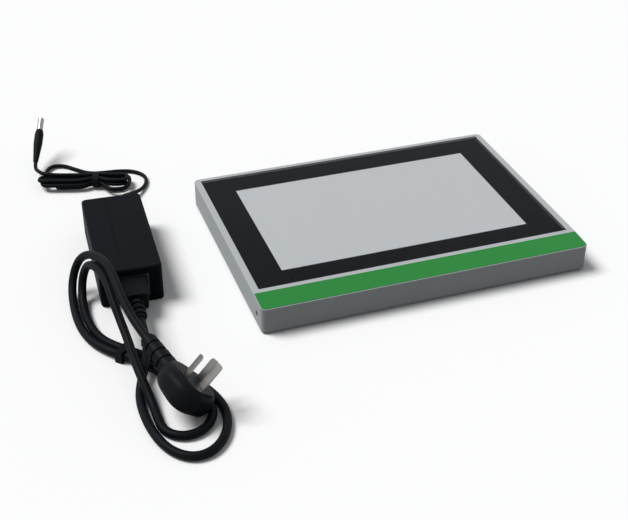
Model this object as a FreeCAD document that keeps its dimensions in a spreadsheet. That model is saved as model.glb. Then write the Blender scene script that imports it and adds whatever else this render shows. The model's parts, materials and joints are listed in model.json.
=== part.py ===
import FreeCAD, Part
import math
import os
import re
import Sketcher

V = FreeCAD.Vector
Turn = FreeCAD.Rotation
doc = FreeCAD.newDocument("light_plate")

# Driving dimensions in millimetres and degrees.
# The light plate stands centred on the origin, its feet on z = 0 and its front towards -Y.
SIZES = {
    # case
    "body_width": 280.0,
    "body_depth": 206.0,
    "body_height": 23.0,
    "wall": 2.5,
    "corner_radius": 4.5,
    "edge_radius": 0.8,
    "rim_side": 5.6,
    "rim_front": 4.4,
    "rim_back": 4.4,
    "strip_depth": 21.8,
    "strip_drop": 1.0,
    "strip_border": 0.7,
    "label_thickness": 0.3,
    "boss_diameter": 7.0,
    "rear_boss_inset": 7.6,
    "front_boss_side_inset": 32.0,
    "front_boss_inset": 9.5,
    "case_screw_diameter": 2.9,
    "case_screw_length": 9.0,
    "case_screw_head": 5.6,
    "running_fit": 0.2,
    "screw_fit": 0.1,
    # feet and bottom cover
    "foot_height": 1.5,
    "foot_diameter": 12.0,
    "foot_inset": 21.0,
    "cover_thickness": 1.5,
    # glass and the parts glued under it
    "glass_thickness": 3.0,
    "glass_bevel": 0.35,
    "print_thickness": 0.15,
    "tape_width": 5.0,
    "tape_thickness": 0.5,
    "ledge_thickness": 2.0,
    "window_length": 217.0,
    "window_width": 131.0,
    "opening_margin": 6.0,
    # edge-lit panel
    "panel_overlap": 8.0,
    "diffuser_thickness": 2.0,
    "film_thickness": 0.3,
    "guide_thickness": 4.0,
    "led_board_thickness": 1.0,
    "led_board_height": 4.4,
    "led_board_inset": 5.0,
    "led_length": 3.0,
    "led_height": 2.4,
    "led_depth": 0.8,
    "led_pitch": 9.4,
    "tray_thickness": 0.8,
    "tray_ear_length": 11.0,
    "tray_ear_width": 12.0,
    "tray_ear_spacing": 118.0,
    "tray_boss_diameter": 6.0,
    "tray_screw_diameter": 2.0,
    "tray_screw_length": 5.5,
    "tray_screw_head": 3.8,
    "tray_screw_head_height": 1.2,
    "tray_notch_width": 7.0,
    # driver electronics in the front bay
    "board_length": 84.0,
    "board_width": 15.0,
    "board_thickness": 1.6,
    "board_middle": 54.0,
    "board_inset": 13.2,
    "standoff_height": 3.0,
    "standoff_diameter": 4.6,
    "board_screw_diameter": 1.8,
    "board_screw_head": 3.2,
    "board_screw_head_height": 1.1,
    "board_screw_inset": 3.4,
    "driver_capacitor_diameter": 6.3,
    "driver_capacitor_height": 8.0,
    "inductor_size": 9.0,
    "inductor_height": 4.6,
    "chip_size": 5.0,
    "chip_height": 1.4,
    "header_length": 7.5,
    "header_width": 5.0,
    "header_height": 6.0,
    "first_capacitor_place": -14.0,
    "second_capacitor_place": 10.0,
    "inductor_place": -2.0,
    "controller_place": 19.0,
    "input_header_place": -25.0,
    "output_header_place": 28.0,
    # power socket in the left wall
    "socket_inset": 13.6,
    "socket_height": 9.0,
    "socket_hole": 6.4,
    "socket_bore": 6.2,
    "socket_bore_depth": 10.0,
    "socket_length": 14.0,
    "socket_width": 9.0,
    "socket_body_height": 11.0,
    "socket_pin": 2.0,
    "socket_pin_length": 8.4,
    "terminal_length": 4.0,
    "terminal_width": 2.4,
    "terminal_thickness": 0.6,
    # rocker switch in the right wall
    "switch_inset": 13.6,
    "switch_height": 9.0,
    "switch_bezel_length": 15.0,
    "switch_bezel_width": 10.5,
    "switch_bezel_rise": 1.2,
    "switch_body_length": 13.4,
    "switch_body_width": 8.6,
    "switch_body_depth": 12.0,
    "switch_skin": 0.7,
    "switch_cavity_depth": 7.0,
    "rocker_gap": 0.25,
    "rocker_rise": 2.7,
    "rocker_depth": 2.2,
    "rocker_saddle_radius": 14.0,
    "rocker_saddle_rise": 1.3,
    "rocker_tilt": 10.0,
    "rocker_axle": 1.6,
    "axle_fit": 0.05,
    # wiring
    "wire_diameter": 1.4,
    # power adapter, which stands apart on the same surface
    "adapter_x": -224.2,
    "adapter_y": -30.4,
    "adapter_turn": -3.4,
    "adapter_length": 116.0,
    "adapter_width": 50.0,
    "adapter_height": 33.0,
    "adapter_seam": 16.5,
    "adapter_wall": 2.2,
    "adapter_corner": 4.0,
    "adapter_edge": 1.8,
    "seam_bevel": 0.35,
    "groove_width": 1.0,
    "groove_depth": 0.5,
    "groove_length": 92.0,
    "groove_side": -5.5,
    "adapter_board_thickness": 1.6,
    "adapter_board_height": 5.0,
    "adapter_board_margin": 1.5,
    "transformer_length": 26.0,
    "transformer_width": 24.0,
    "transformer_height": 19.0,
    "transformer_leg": 6.0,
    "transformer_y": 66.0,
    "bulk_capacitor_diameter": 14.0,
    "bulk_capacitor_length": 24.0,
    "output_capacitor_diameter": 8.0,
    "output_capacitor_height": 14.0,
    "heatsink_thickness": 1.5,
    "heatsink_length": 34.0,
    "heatsink_height": 19.0,
    "choke_diameter": 15.0,
    "choke_wire": 5.0,
    "adapter_post_diameter": 4.0,
    "bulk_capacitor_place": 6.0,
    "choke_place": 16.0,
    "first_output_place": 88.0,
    "second_output_place": 99.0,
    "heatsink_side_gap": 3.0,
    "right_heatsink_place": 36.0,
    "left_heatsink_place": 88.0,
    # mains inlet and the connector in it
    "inlet_width": 27.8,
    "inlet_height": 20.4,
    "inlet_depth": 18.0,
    "inlet_cavity_width": 24.2,
    "inlet_cavity_height": 16.2,
    "inlet_cavity_depth": 15.0,
    "inlet_chamfer": 4.0,
    "inlet_pin_width": 2.0,
    "inlet_pin_height": 4.0,
    "inlet_pin_length": 12.5,
    "inlet_pin_spacing": 7.0,
    "inlet_pin_step": 2.0,
    "nose_fit": 0.3,
    "nose_length": 14.5,
    "pin_slot_fit": 0.3,
    "grip_width": 25.6,
    "grip_height": 18.6,
    "grip_end_width": 19.0,
    "grip_end_height": 14.5,
    "grip_length": 22.0,
    "grip_edge": 2.2,
    "relief_diameter": 9.6,
    "relief_end_diameter": 8.4,
    "relief_rib_diameter": 12.0,
    "relief_ribs": 3.0,
    "relief_rib_width": 3.0,
    "relief_gap_width": 3.4,
    # low-voltage lead and its plug
    "lead_diameter": 3.5,
    "gland_x": 12.0,
    "gland_diameter": 7.4,
    "gland_end_diameter": 5.2,
    "gland_length": 16.0,
    "gland_flange": 10.0,
    "gland_flange_thickness": 1.5,
    "lead_plug_x": -265.9,
    "lead_plug_y": 205.5,
    "lead_plug_z": 11.5,
    "lead_plug_turn": -19.0,
    "lead_plug_tilt": 28.0,
    "lead_tail_diameter": 4.6,
    "lead_tail_length": 20.0,
    "lead_grip_diameter": 8.2,
    "lead_grip_length": 11.0,
    "lead_shoulder_diameter": 6.4,
    "lead_shoulder_length": 4.0,
    "barrel_diameter": 5.5,
    "barrel_bore": 2.1,
    "barrel_length": 13.0,
    "barrel_bore_depth": 9.0,
    "hank_x": -227.0,
    "hank_y": 166.5,
    "hank_turn": -17.0,
    "hank_length": 86.0,
    "hank_width": 21.0,
    "hank_height": 12.0,
    "hank_waist_width": 14.8,
    "hank_waist_height": 10.4,
    "hank_waist_place": 0.62,
    "lead_tie_thickness": 1.2,
    "lead_tie_width": 6.0,
    # mains cord, its tie and its plug
    "cord_diameter": 6.6,
    "cord_tie_x": -244.7,
    "cord_tie_y": -95.2,
    "cord_tie_turn": 135.0,
    "cord_tie_length": 6.0,
    "cord_tie_inner_width": 14.0,
    "cord_tie_inner_height": 6.9,
    "cord_tie_thickness": 1.2,
    "plug_x": -208.5,
    "plug_y": -170.5,
    "plug_z": 26.8,
    "plug_yaw": -74.0,
    "plug_pitch": 10.0,
    "plug_roll": -43.0,
    "plug_width": 37.0,
    "plug_thickness": 20.0,
    "plug_head_length": 42.0,
    "plug_neck_diameter": 15.2,
    "plug_axis_depth": 9.5,
    "plug_relief_length": 34.0,
    "plug_relief_start": 14.4,
    "plug_relief_end": 12.0,
    "plug_relief_ribs": 4.0,
    "plug_relief_rib_depth": 1.2,
    "plug_insert_length": 27.0,
    "plug_insert_width": 25.0,
    "plug_insert_thickness": 3.0,
    "plug_insert_rise": 0.6,
    "blade_width": 6.3,
    "blade_tip_radius": 1.8,
    "blade_thickness": 1.6,
    "blade_length": 18.0,
    "earth_blade_length": 21.0,
    "blade_side": 7.9,
    "blade_back": 3.5,
    "earth_forward": 7.5,
    "blade_angle": 30.0,
}

# Lengths and levels that follow from the driving dimensions.
DERIVED = {
    "case_top": "foot_height + body_height",
    "cover_top": "foot_height + cover_thickness",
    "inner_width": "body_width - 2 * wall",
    "inner_depth": "body_depth - 2 * wall",
    "glass_front": "-body_depth / 2 + strip_depth + rim_front",
    "glass_back": "body_depth / 2 - rim_back",
    "glass_middle": "(glass_front + glass_back) / 2",
    "seat_length": "body_width - 2 * rim_side",
    "seat_width": "glass_back - glass_front",
    "glass_base": "case_top - glass_thickness",
    "print_base": "glass_base - print_thickness",
    "tape_base": "print_base - tape_thickness",
    "ledge_base": "tape_base - ledge_thickness",
    "panel_length": "window_length + 2 * opening_margin + 2 * panel_overlap",
    "panel_width": "window_width + 2 * opening_margin + 2 * panel_overlap",
    "diffuser_base": "ledge_base - diffuser_thickness",
    "film_base": "diffuser_base - film_thickness",
    "guide_base": "film_base - guide_thickness",
    "reflector_base": "guide_base - film_thickness",
    "tray_base": "reflector_base - tray_thickness",
    "tray_inner_length": "panel_length + 2 * running_fit",
    "tray_inner_width": "panel_width + 2 * running_fit",
    "tray_half": "tray_inner_length / 2 + tray_thickness",
    "tray_ear_middle": "tray_half + tray_ear_length / 2",
    "bay_back": "glass_front - wall",
    "bay_top": "case_top - strip_drop - label_thickness - wall",
    "rear_boss_x": "body_width / 2 - rear_boss_inset",
    "rear_boss_y": "body_depth / 2 - rear_boss_inset",
    "front_boss_x": "body_width / 2 - front_boss_side_inset",
    "front_boss_y": "-body_depth / 2 + front_boss_inset",
    "board_y": "-body_depth / 2 + board_inset",
    "board_base": "cover_top + standoff_height",
    "board_top": "board_base + board_thickness",
    "board_screw_x": "board_length / 2 - board_screw_inset",
    "board_screw_y": "board_width / 2 - board_screw_inset",
    "socket_y": "-body_depth / 2 + socket_inset",
    "socket_z": "foot_height + socket_height",
    "socket_face": "-body_width / 2 + wall",
    "switch_y": "-body_depth / 2 + switch_inset",
    "switch_z": "foot_height + switch_height",
    "switch_face": "body_width / 2 + switch_bezel_rise",
    "cavity_length": "switch_body_length - 2 * switch_skin",
    "cavity_width": "switch_body_width - 2 * switch_skin",
    "rocker_radius": "cavity_length / 2 - rocker_gap",
    "rocker_width": "cavity_width - 2 * rocker_gap",
    "led_row_front": "glass_middle - panel_width / 2",
    "led_row_back": "glass_middle + panel_width / 2",
    "guide_width": "panel_width - 2 * (led_board_thickness + led_depth + running_fit)",
    "nose_width": "inlet_cavity_width - 2 * nose_fit",
    "nose_height": "inlet_cavity_height - 2 * nose_fit",
    "relief_length": "relief_ribs * (relief_rib_width + relief_gap_width) + relief_gap_width",
    "adapter_board_top": "adapter_board_height + adapter_board_thickness",
}

NODES = []


def fill_sheet():
    sheet = doc.addObject("Spreadsheet::Sheet", "sizes")
    for row, (name, value) in enumerate(SIZES.items(), 1):
        sheet.set(f"A{row}", name)
        sheet.set(f"B{row}", str(value))
        sheet.setAlias(f"B{row}", name)
    doc.recompute()


def full(text):
    """Write out derived names and point the driving names at the sheet."""

    def swap(match):
        name = match.group(0)
        if name in DERIVED:
            return "(" + full(DERIVED[name]) + ")"
        if name in SIZES:
            return "sizes." + name
        return name

    return re.sub(r"[a-z][a-z_]*", swap, str(text))


def bind(item, path, text):
    item.setExpression(path, full(text))


def set_place(item, x="0", y="0", z="0"):
    for axis, text in zip("xyz", (x, y, z)):
        if str(text) != "0":
            bind(item, f"Placement.Base.{axis}", text)


def keep(item, label):
    """Register a finished sub-part under its own name."""
    item.Label = label
    NODES.append(item)
    return item


# Sketch and body helpers
def new_body(name, x="0", y="0", z="0"):
    body = doc.addObject("PartDesign::Body", name + "_body")
    set_place(body, x, y, z)
    return body


def new_sketch(body, role, x="0", y="0", z="0"):
    sketch = body.newObject("Sketcher::SketchObject", body.Name + "_sketch")
    plane = [item for item in body.Origin.OriginFeatures if item.Role == role + "_Plane"][0]
    sketch.AttachmentSupport = [(plane, "")]
    sketch.MapMode = "FlatFace"
    for axis, text in zip("xyz", (x, y, z)):
        if str(text) != "0":
            bind(sketch, f"AttachmentOffset.Base.{axis}", text)
    return sketch


def draw_polygon(sketch, corners):
    """Closed outline whose corners are tied to the sketch origin by expressions."""
    count = len(corners)
    first = sketch.GeometryCount
    start = []
    for number in range(count):
        angle = 2 * math.pi * number / count
        start.append(V(20 * math.cos(angle), 20 * math.sin(angle), 0))
    for number in range(count):
        sketch.addGeometry(Part.LineSegment(start[number], start[(number + 1) % count]), False)
    for number in range(count):
        after = first + (number + 1) % count
        sketch.addConstraint(Sketcher.Constraint("Coincident", first + number, 2, after, 1))
    for number, corner in enumerate(corners):
        for axis, text, value in zip("XY", corner, start[number]):
            link = Sketcher.Constraint("Distance" + axis, -1, 1, first + number, 1, value)
            name = f"corner_{first + number}_{axis}"
            sketch.renameConstraint(sketch.addConstraint(link), name)
            bind(sketch, "Constraints." + name, text)


def draw_rectangle(sketch, width, depth, x="0", y="0"):
    left, right = f"{x} - ({width}) / 2", f"{x} + ({width}) / 2"
    low, high = f"{y} - ({depth}) / 2", f"{y} + ({depth}) / 2"
    draw_polygon(sketch, [(left, low), (right, low), (right, high), (left, high)])


def draw_circle(sketch, diameter, x="0", y="0"):
    number = sketch.addGeometry(Part.Circle(V(1, 1, 0), V(0, 0, 1), 3), False)
    links = (
        ("diameter", Sketcher.Constraint("Diameter", number, 6), diameter),
        ("across", Sketcher.Constraint("DistanceX", -1, 1, number, 3, 1), x),
        ("along", Sketcher.Constraint("DistanceY", -1, 1, number, 3, 1), y),
    )
    for word, link, text in links:
        name = f"{word}_{number}"
        sketch.renameConstraint(sketch.addConstraint(link), name)
        bind(sketch, "Constraints." + name, text)


def raise_pad(body, sketch, length, downwards=False, both_ways=False):
    pad = body.newObject("PartDesign::Pad", body.Name + "_pad")
    pad.Profile = sketch
    bind(pad, "Length", length)
    pad.Reversed = downwards
    if both_ways:
        pad.SideType = "Symmetric"
    return pad


def cut_pocket(body, sketch, length, forwards=False, both_ways=False):
    """Cut against the sketch's normal, or along it when forwards is set."""
    pocket = body.newObject("PartDesign::Pocket", body.Name + "_pocket")
    pocket.Profile = sketch
    bind(pocket, "Length", length)
    pocket.Reversed = forwards
    if both_ways:
        pocket.SideType = "Symmetric"
    return pocket


def dress(body, kind, size_name, size, chosen):
    """Add a Fillet or Chamfer on the edges of the body's tip that chosen() accepts."""
    doc.recompute()
    base = body.Tip
    names = []
    for number, edge in enumerate(base.Shape.Edges, 1):
        if chosen(edge):
            names.append(f"Edge{number}")
    feature = body.newObject("PartDesign::" + kind, body.Name + "_" + kind.lower())
    feature.Base = (base, names)
    bind(feature, size_name, size)
    return feature


def round_edges(body, radius, chosen):
    return dress(body, "Fillet", "Radius", radius, chosen)


def bevel_edges(body, size, chosen):
    return dress(body, "Chamfer", "Size", size, chosen)


def is_upright(edge):
    tangent = edge.tangentAt(edge.FirstParameter)
    return abs(tangent.z) > 0.999


def is_level_at(edge, level):
    box_round = edge.BoundBox
    return abs(box_round.ZMin - level) < 1e-4 and abs(box_round.ZMax - level) < 1e-4


def value(text):
    """The number that a driving or derived expression gives, read from the sheet."""
    probe = doc.getObject("probe")
    if probe is None:
        probe = doc.addObject("App::FeaturePython", "probe")
        probe.addProperty("App::PropertyFloat", "Value")
    probe.setExpression("Value", full(text))
    probe.recompute()
    return probe.Value


# Primitive helpers
AXES = {"x": Turn(V(0, 1, 0), 90), "y": Turn(V(1, 0, 0), -90), "z": Turn()}


def box(name, length, width, height, x="0", y="0", z="0"):
    """A block centred on x and y, with its underside at z."""
    item = doc.addObject("Part::Box", name)
    bind(item, "Length", length)
    bind(item, "Width", width)
    bind(item, "Height", height)
    set_place(item, f"{x} - ({length}) / 2", f"{y} - ({width}) / 2", z)
    return item


def rod(name, diameter, length, x="0", y="0", z="0", axis="z"):
    item = doc.addObject("Part::Cylinder", name)
    bind(item, "Radius", f"({diameter}) / 2")
    bind(item, "Height", length)
    item.Placement.Rotation = AXES[axis]
    set_place(item, x, y, z)
    return item


def cone(name, first, second, length, x="0", y="0", z="0", axis="z"):
    item = doc.addObject("Part::Cone", name)
    bind(item, "Radius1", f"({first}) / 2")
    bind(item, "Radius2", f"({second}) / 2")
    bind(item, "Height", length)
    item.Placement.Rotation = AXES[axis]
    set_place(item, x, y, z)
    return item


def fuse(name, members):
    item = doc.addObject("Part::MultiFuse", name)
    item.Shapes = members
    return item


def cut(name, base, tool):
    item = doc.addObject("Part::Cut", name)
    item.Base = base
    item.Tool = tool
    return item


def common(name, members):
    item = doc.addObject("Part::MultiCommon", name)
    item.Shapes = members
    return item


def group(name, members):
    item = doc.addObject("Part::Compound", name)
    item.Links = members
    return item


def on_adapter(item):
    item.Placement = FreeCAD.Placement(V(0, 0, 0), Turn(V(0, 0, 1), 1))
    bind(item, "Placement.Rotation.Angle", "adapter_turn")
    set_place(item, "adapter_x", "adapter_y")
    return item


# Case
def case_bosses():
    """Centres of the cover screws: three along the back, three along the front."""
    places = []
    for side in (-1, 0, 1):
        places.append((f"{side} * rear_boss_x", "rear_boss_y", "ledge_base"))
        places.append((f"{side} * front_boss_x", "front_boss_y", "bay_top"))
    return places


def tray_bosses():
    places = []
    for side in (-1, 1):
        for end in (-1, 1):
            x = f"{side} * tray_ear_middle"
            places.append((x, f"glass_middle + {end} * tray_ear_spacing / 2"))
    return places


def make_housing():
    body = new_body("housing")
    outline = new_sketch(body, "XY", z="foot_height")
    draw_rectangle(outline, "body_width", "body_depth")
    raise_pad(body, outline, "body_height")
    round_edges(body, "corner_radius", is_upright)
    round_edges(body, "edge_radius", lambda edge: not is_upright(edge))

    # The front ledge slopes down towards its edge and is sunk for the strip.
    slope = new_sketch(body, "YZ")
    back_edge = "-body_depth / 2 + strip_depth"
    front_edge = "-body_depth / 2 - 1"
    sunk = "case_top - label_thickness"
    low = "case_top - label_thickness - strip_drop * (1 + 1 / strip_depth)"
    high = "case_top + 1"
    draw_polygon(slope, [(back_edge, high), (back_edge, sunk), (front_edge, low), (front_edge, high)])
    cut_pocket(body, slope, "body_width + 2", both_ways=True)

    # The glass seat, the light opening below it and the hollow underneath.
    seat = new_sketch(body, "XY", z="case_top")
    draw_rectangle(seat, "seat_length", "seat_width", y="glass_middle")
    cut_pocket(body, seat, "case_top - tape_base")
    opening = new_sketch(body, "XY", z="case_top")
    width = "window_length + 2 * opening_margin"
    draw_rectangle(opening, width, "window_width + 2 * opening_margin", y="glass_middle")
    cut_pocket(body, opening, "body_height")
    hollow = new_sketch(body, "XY", z="foot_height")
    draw_rectangle(hollow, "inner_width", "inner_depth")
    cut_pocket(body, hollow, "ledge_base - foot_height", forwards=True)
    bay = new_sketch(body, "XY", z="foot_height")
    bay_middle = "(bay_back - inner_depth / 2) / 2"
    draw_rectangle(bay, "inner_width", "bay_back + inner_depth / 2", y=bay_middle)
    cut_pocket(body, bay, "bay_top - foot_height", forwards=True)

    # Screw bosses with their pilot holes.
    for x, y, top in case_bosses():
        boss = new_sketch(body, "XY", z="cover_top")
        draw_circle(boss, "boss_diameter", x, y)
        raise_pad(body, boss, f"{top} - cover_top + 0.5")
    for x, y in tray_bosses():
        boss = new_sketch(body, "XY", z="tray_base + tray_thickness")
        draw_circle(boss, "tray_boss_diameter", x, y)
        raise_pad(body, boss, "ledge_base - tray_base - tray_thickness + 0.5")
    holes = new_sketch(body, "XY", z="cover_top")
    for x, y, top in case_bosses():
        draw_circle(holes, "case_screw_diameter + 2 * screw_fit", x, y)
    cut_pocket(body, holes, "case_screw_length", forwards=True)
    holes = new_sketch(body, "XY", z="tray_base + tray_thickness")
    for x, y in tray_bosses():
        draw_circle(holes, "tray_screw_diameter + 2 * screw_fit", x, y)
    cut_pocket(body, holes, "tray_screw_length - tray_thickness + 0.5", forwards=True)

    # The socket hole in the left wall and the switch cut-out in the right wall.
    hole = new_sketch(body, "YZ", z="-body_width / 2 - 1")
    draw_circle(hole, "socket_hole", "socket_y", "socket_z")
    cut_pocket(body, hole, "wall + 2", forwards=True)
    window = new_sketch(body, "YZ", z="body_width / 2 + 1")
    length = "switch_body_length + 2 * running_fit"
    width = "switch_body_width + 2 * running_fit"
    draw_rectangle(window, length, width, "switch_y", "switch_z")
    cut_pocket(body, window, "wall + 2")
    keep(body, "housing")


def make_bottom_cover():
    body = new_body("bottom_cover")
    outline = new_sketch(body, "XY", z="foot_height")
    length = "inner_width - 2 * running_fit"
    draw_rectangle(outline, length, "inner_depth - 2 * running_fit")
    raise_pad(body, outline, "cover_thickness")
    round_edges(body, "corner_radius - wall", is_upright)
    holes = new_sketch(body, "XY", z="cover_top")
    for x, y, top in case_bosses():
        draw_circle(holes, "case_screw_diameter + 2 * screw_fit", x, y)
    cut_pocket(body, holes, "cover_thickness")
    level = value("foot_height")
    radius = value("case_screw_diameter / 2 + screw_fit")

    def screw_rim(edge):
        curve = edge.Curve
        return is_level_at(edge, level) and hasattr(curve, "Radius") and abs(curve.Radius - radius) < 1e-4

    bevel_edges(body, "(case_screw_head - case_screw_diameter) / 2", screw_rim)
    posts = new_sketch(body, "XY", z="cover_top")
    for x, y in board_corners():
        draw_circle(posts, "standoff_diameter", x, y)
    raise_pad(body, posts, "standoff_height")
    pilots = new_sketch(body, "XY", z="board_base")
    for x, y in board_corners():
        draw_circle(pilots, "board_screw_diameter + 2 * screw_fit", x, y)
    cut_pocket(body, pilots, "standoff_height")
    keep(body, "bottom_cover")


def make_feet():
    feet = []
    for side in (-1, 1):
        for end in (-1, 1):
            x = f"{side} * (body_width / 2 - foot_inset)"
            y = f"{end} * (body_depth / 2 - foot_inset)"
            feet.append(rod("foot", "foot_diameter", "foot_height", x, y))
    keep(group("feet", feet), "rubber_feet")


def make_case_screws():
    screws = []
    head = "(case_screw_head - case_screw_diameter) / 2"
    for x, y, top in case_bosses():
        flare = cone("screw_flare", "case_screw_head", "case_screw_diameter", head, x, y, "foot_height")
        shank_length = f"case_screw_length + cover_thickness - {head} - 0.5"
        shank = rod("screw_shank", "case_screw_diameter", shank_length, x, y, f"foot_height + {head}")
        screws.append(fuse("screw", [flare, shank]))
    keep(group("case_screws", screws), "cover_screws")


# Glass and the layers under it
def make_glass():
    body = new_body("cover_glass")
    outline = new_sketch(body, "XY", z="glass_base")
    length = "seat_length - 2 * running_fit"
    draw_rectangle(outline, length, "seat_width - 2 * running_fit", y="glass_middle")
    raise_pad(body, outline, "glass_thickness")
    level = value("case_top")
    bevel_edges(body, "glass_bevel", lambda edge: is_level_at(edge, level))
    keep(body, "cover_glass")


def make_frame(label, base, thickness, length, width, inner_length, inner_width):
    body = new_body(label)
    outline = new_sketch(body, "XY", z=base)
    draw_rectangle(outline, length, width, y="glass_middle")
    draw_rectangle(outline, inner_length, inner_width, y="glass_middle")
    raise_pad(body, outline, thickness)
    keep(body, label)


def make_glass_layers():
    margin = "4 * running_fit"
    length, width = f"seat_length - {margin}", f"seat_width - {margin}"
    make_frame("printed_border", "print_base", "print_thickness", length, width,
               "window_length", "window_width")
    make_frame("glass_tape", "tape_base", "tape_thickness", length, width,
               f"{length} - 2 * tape_width", f"{width} - 2 * tape_width")


def make_strip():
    """The green film on the sloping ledge, tilted about its back edge."""
    body = new_body("front_strip")
    outline = new_sketch(body, "XY")
    slant = "sqrt(strip_depth * strip_depth + strip_drop * strip_drop)"
    width = f"{slant} - strip_border"
    draw_rectangle(outline, "body_width - 2 * strip_border", width, y=f"-({width}) / 2")
    raise_pad(body, outline, "label_thickness")
    round_edges(body, "corner_radius - strip_border",
                lambda edge: is_upright(edge) and edge.Vertexes[0].Y < -1)
    body.Placement = FreeCAD.Placement(V(0, 0, 0), Turn(V(1, 0, 0), 1))
    bind(body, "Placement.Rotation.Angle", "atan(strip_drop / strip_depth)")
    set_place(body, "0", "-body_depth / 2 + strip_depth", "case_top - label_thickness")
    keep(body, "front_strip")


# Edge-lit panel
def make_panel():
    keep(box("diffuser", "panel_length", "panel_width", "diffuser_thickness",
             y="glass_middle", z="diffuser_base"), "diffuser_plate")
    keep(box("prism", "panel_length", "guide_width", "film_thickness",
             y="glass_middle", z="film_base"), "prism_film")
    keep(box("guide", "panel_length", "guide_width", "guide_thickness",
             y="glass_middle", z="guide_base"), "light_guide")
    keep(box("reflector", "panel_length", "guide_width", "film_thickness",
             y="glass_middle", z="reflector_base"), "reflector_sheet")


def make_tray():
    body = new_body("panel_tray")
    outline = new_sketch(body, "XY", z="tray_base")
    length = "tray_inner_length + 2 * tray_thickness"
    draw_rectangle(outline, length, "tray_inner_width + 2 * tray_thickness", y="glass_middle")
    raise_pad(body, outline, "ledge_base - tray_base")
    inside = new_sketch(body, "XY", z="ledge_base")
    draw_rectangle(inside, "tray_inner_length", "tray_inner_width", y="glass_middle")
    cut_pocket(body, inside, "ledge_base - tray_base - tray_thickness")
    ears = new_sketch(body, "XY", z="tray_base")
    for x, y in tray_bosses():
        draw_rectangle(ears, "tray_ear_length + 1", "tray_ear_width", x, y)
    raise_pad(body, ears, "tray_thickness")
    holes = new_sketch(body, "XY", z="tray_base + tray_thickness")
    for x, y in tray_bosses():
        draw_circle(holes, "tray_screw_diameter + 2 * screw_fit", x, y)
    cut_pocket(body, holes, "tray_thickness")
    notch = new_sketch(body, "XY", z="ledge_base - diffuser_thickness")
    draw_rectangle(notch, "tray_notch_width", "tray_inner_width + 4 * tray_thickness",
                   "tray_inner_length / 2 - 2 * tray_notch_width", "glass_middle")
    cut_pocket(body, notch, "film_thickness + led_board_height - 2 * tray_thickness")
    keep(body, "panel_tray")


def make_tray_screws():
    screws = []
    for x, y in tray_bosses():
        head = rod("tray_screw_head", "tray_screw_head", "tray_screw_head_height", x, y,
                   "tray_base - tray_screw_head_height")
        shank = rod("tray_screw_shank", "tray_screw_diameter", "tray_screw_length", x, y, "tray_base")
        screws.append(fuse("tray_screw", [head, shank]))
    keep(group("tray_screw_set", screws), "tray_screws")


def make_led_rows():
    count = int(value("(panel_length - 2 * led_board_inset) / led_pitch"))
    rows = (("front", "led_row_front", 1), ("rear", "led_row_back", -1))
    for word, row, inward in rows:
        y = f"{row} + {inward} * led_board_thickness / 2"
        board = box("led_board", "panel_length - 2 * led_board_inset", "led_board_thickness",
                    "led_board_height", y=y, z="tray_base + tray_thickness")
        keep(board, f"led_board_{word}")
        y = f"{row} + {inward} * (led_board_thickness + led_depth / 2)"
        chips = []
        for number in range(count):
            x = f"{number - (count - 1) / 2} * led_pitch"
            chips.append(box("led", "led_length", "led_depth", "led_height", x, y,
                             "guide_base + (guide_thickness - led_height) / 2"))
        keep(group(f"led_row_{word}", chips), f"led_chips_{word}")


# Driver electronics
def board_corners():
    places = []
    for side in (-1, 1):
        for end in (-1, 1):
            x = f"board_middle + {side} * board_screw_x"
            places.append((x, f"board_y + {end} * board_screw_y"))
    return places


def make_driver():
    body = new_body("driver_board")
    outline = new_sketch(body, "XY", z="board_base")
    draw_rectangle(outline, "board_length", "board_width", "board_middle", "board_y")
    for x, y in board_corners():
        draw_circle(outline, "board_screw_diameter + 2 * screw_fit", x, y)
    raise_pad(body, outline, "board_thickness")
    keep(body, "driver_board")

    screws = []
    for x, y in board_corners():
        head = rod("board_screw_head", "board_screw_head", "board_screw_head_height", x, y, "board_top")
        length = "standoff_height + board_thickness - screw_fit"
        shank = rod("board_screw_shank", "board_screw_diameter", length, x, y, f"board_top - ({length})")
        screws.append(fuse("board_screw", [head, shank]))
    keep(group("board_screw_set", screws), "driver_board_screws")

    cans = []
    for place in ("first_capacitor_place", "second_capacitor_place"):
        cans.append(rod("can", "driver_capacitor_diameter", "driver_capacitor_height",
                        f"board_middle + {place}", "board_y", "board_top"))
    keep(group("driver_cans", cans), "driver_capacitors")
    keep(box("inductor", "inductor_size", "inductor_size", "inductor_height",
             "board_middle + inductor_place", "board_y", "board_top"), "driver_inductor")
    keep(box("controller", "chip_size", "chip_size", "chip_height",
             "board_middle + controller_place", "board_y", "board_top"), "driver_controller")
    headers = []
    for place in ("input_header_place", "output_header_place"):
        headers.append(box("header", "header_length", "header_width", "header_height",
                           f"board_middle + {place}", "board_y", "board_top"))
    keep(group("header_set", headers), "driver_headers")


# Power socket
def make_socket():
    body = new_body("power_socket")
    outline = new_sketch(body, "YZ", z="socket_face")
    draw_rectangle(outline, "socket_width", "socket_body_height", "socket_y", "socket_z")
    raise_pad(body, outline, "socket_length")
    bore = new_sketch(body, "YZ", z="socket_face")
    draw_circle(bore, "socket_bore", "socket_y", "socket_z")
    cut_pocket(body, bore, "socket_bore_depth", forwards=True)
    keep(body, "power_socket")
    tip = "socket_face + socket_bore_depth - socket_pin_length"
    keep(rod("socket_contact", "socket_pin", "socket_pin_length", tip, "socket_y", "socket_z", "x"),
         "power_socket_pin")
    tags = []
    for side in (-1, 1):
        tags.append(box("socket_tag", "terminal_length", "terminal_width", "terminal_thickness",
                        "socket_face + socket_length + terminal_length / 2",
                        f"socket_y + {side} * socket_width / 4", "socket_z - terminal_thickness / 2"))
    keep(group("socket_tags", tags), "power_socket_terminals")


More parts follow.
